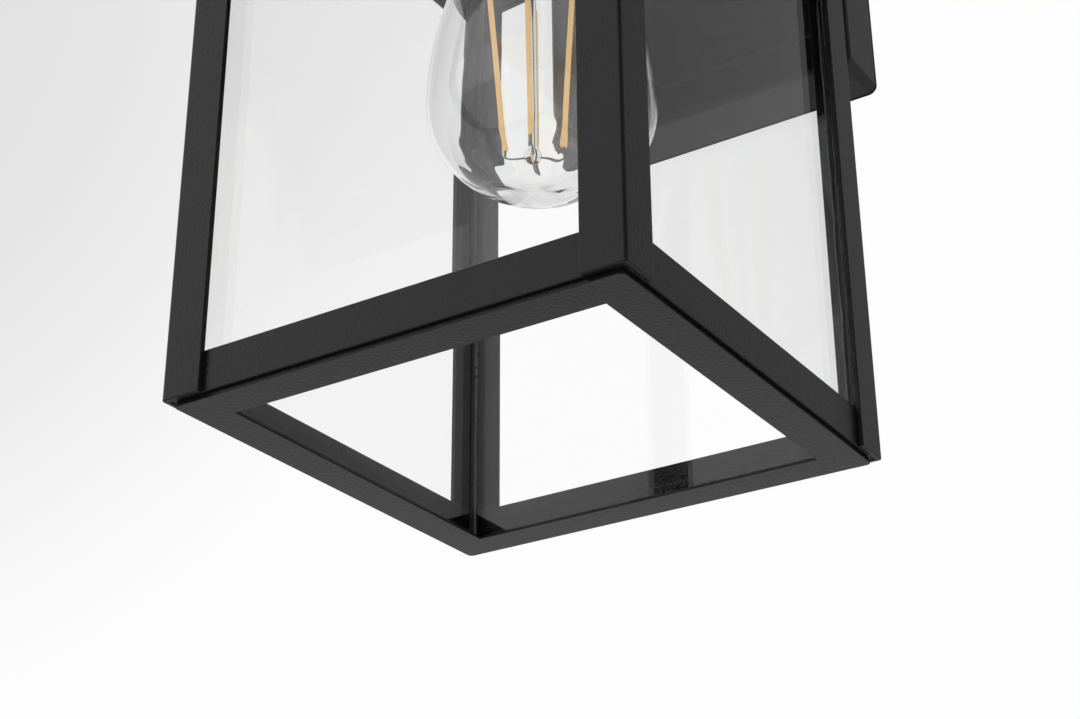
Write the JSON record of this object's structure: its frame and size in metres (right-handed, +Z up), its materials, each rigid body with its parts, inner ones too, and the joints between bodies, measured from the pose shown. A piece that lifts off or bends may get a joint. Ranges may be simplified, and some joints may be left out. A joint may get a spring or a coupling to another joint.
{
  "type": "outdoor wall lantern",
  "caption": "Square black wall lantern with clear glass sides, open bottom, overhanging roof and a tapered clear filament bulb, on a short arm from a pan-shaped wall plate.",
  "frame": {"origin": "centre of the wall plate on the wall plane", "axes": "+Y square into the wall, -Y out to the front, +Z up, +X to the right seen from the front"},
  "size_m": [0.167, 0.205, 0.3083],
  "materials": {
    "black_powder_coat": "fine leather-texture matt black powder coat",
    "clear_glass": "clear polished flat glass",
    "zinc_steel": "zinc plated steel",
    "foam_rubber": "closed cell foam",
    "silicone": "clear silicone sealant",
    "green_steel": "green dyed zinc",
    "phenolic_moulding": "moulded black phenolic",
    "brass": "plain brass",
    "lamp_glass": "clear blown glass",
    "plated_cap": "nickel plated cap",
    "dark_insulator": "black vitrite",
    "solder": "soft solder",
    "filament_phosphor": "amber phosphor coating",
    "support_wire": "bright drawn wire",
    "black_insulation": "extruded insulation",
    "white_insulation": "extruded insulation",
    "green_insulation": "extruded insulation",
    "orange_plastic": "moulded connector"
  },
  "bodies": {
    "lantern": {"arm_nipple": "zinc_steel", "arm_nuts": "zinc_steel", "arm_tube": "black_powder_coat", "arm_washers": "zinc_steel", "bottom_rail_back": "black_powder_coat", "bottom_rail_front": "black_powder_coat", "bottom_rail_left": "black_powder_coat", "bottom_rail_right": "black_powder_coat", "bottom_ring": "black_powder_coat", "cap_nut_washers": "black_powder_coat", "cap_nuts": "black_powder_coat", "ceiling_plate": "black_powder_coat", "corner_post_back_left": "black_powder_coat", "corner_post_back_right": "black_powder_coat", "corner_post_front_left": "black_powder_coat", "corner_post_front_right": "black_powder_coat", "glass_clips": "black_powder_coat", "glass_pane_back": "clear_glass", "glass_pane_front": "clear_glass", "glass_pane_left": "clear_glass", "glass_pane_right": "clear_glass", "ground_lead": "green_insulation", "ground_screw": "green_steel", "holder_body": "phenolic_moulding", "holder_centre_contact": "brass", "holder_cup": "black_powder_coat", "holder_screw_shell": "brass", "holder_stem": "zinc_steel", "holder_stem_nuts": "zinc_steel", "holder_strap": "zinc_steel", "holder_strap_screws": "zinc_steel", "holder_terminal_screws": "brass", "live_lead": "black_insulation", "mounting_crossbar": "zinc_steel", "neutral_lead": "white_insulation", "plate_studs": "zinc_steel", "roof_cap": "black_powder_coat", "roof_pan": "black_powder_coat", "roof_screws": "black_powder_coat", "roof_standoffs": "zinc_steel", "silicone_beads": "silicone", "top_rail_back": "black_powder_coat", "top_rail_front": "black_powder_coat", "top_rail_left": "black_powder_coat", "top_rail_right": "black_powder_coat", "wall_gasket": "foam_rubber", "wall_plate": "black_powder_coat", "wire_connectors": "orange_plastic"},
    "bulb": {"bulb_cap_insulator": "dark_insulator", "bulb_filaments": "filament_phosphor", "bulb_glass": "lamp_glass", "bulb_screw_cap": "plated_cap", "bulb_stem": "lamp_glass", "bulb_support_wires": "support_wire", "bulb_tip_contact": "solder"}
  },
  "joints": [
    {"name": "bulb_unscrew", "type": "slide", "parent": "lantern", "child": "bulb", "axis": [0, 0, -1], "range_m": [0, 0.024]}
  ]
}
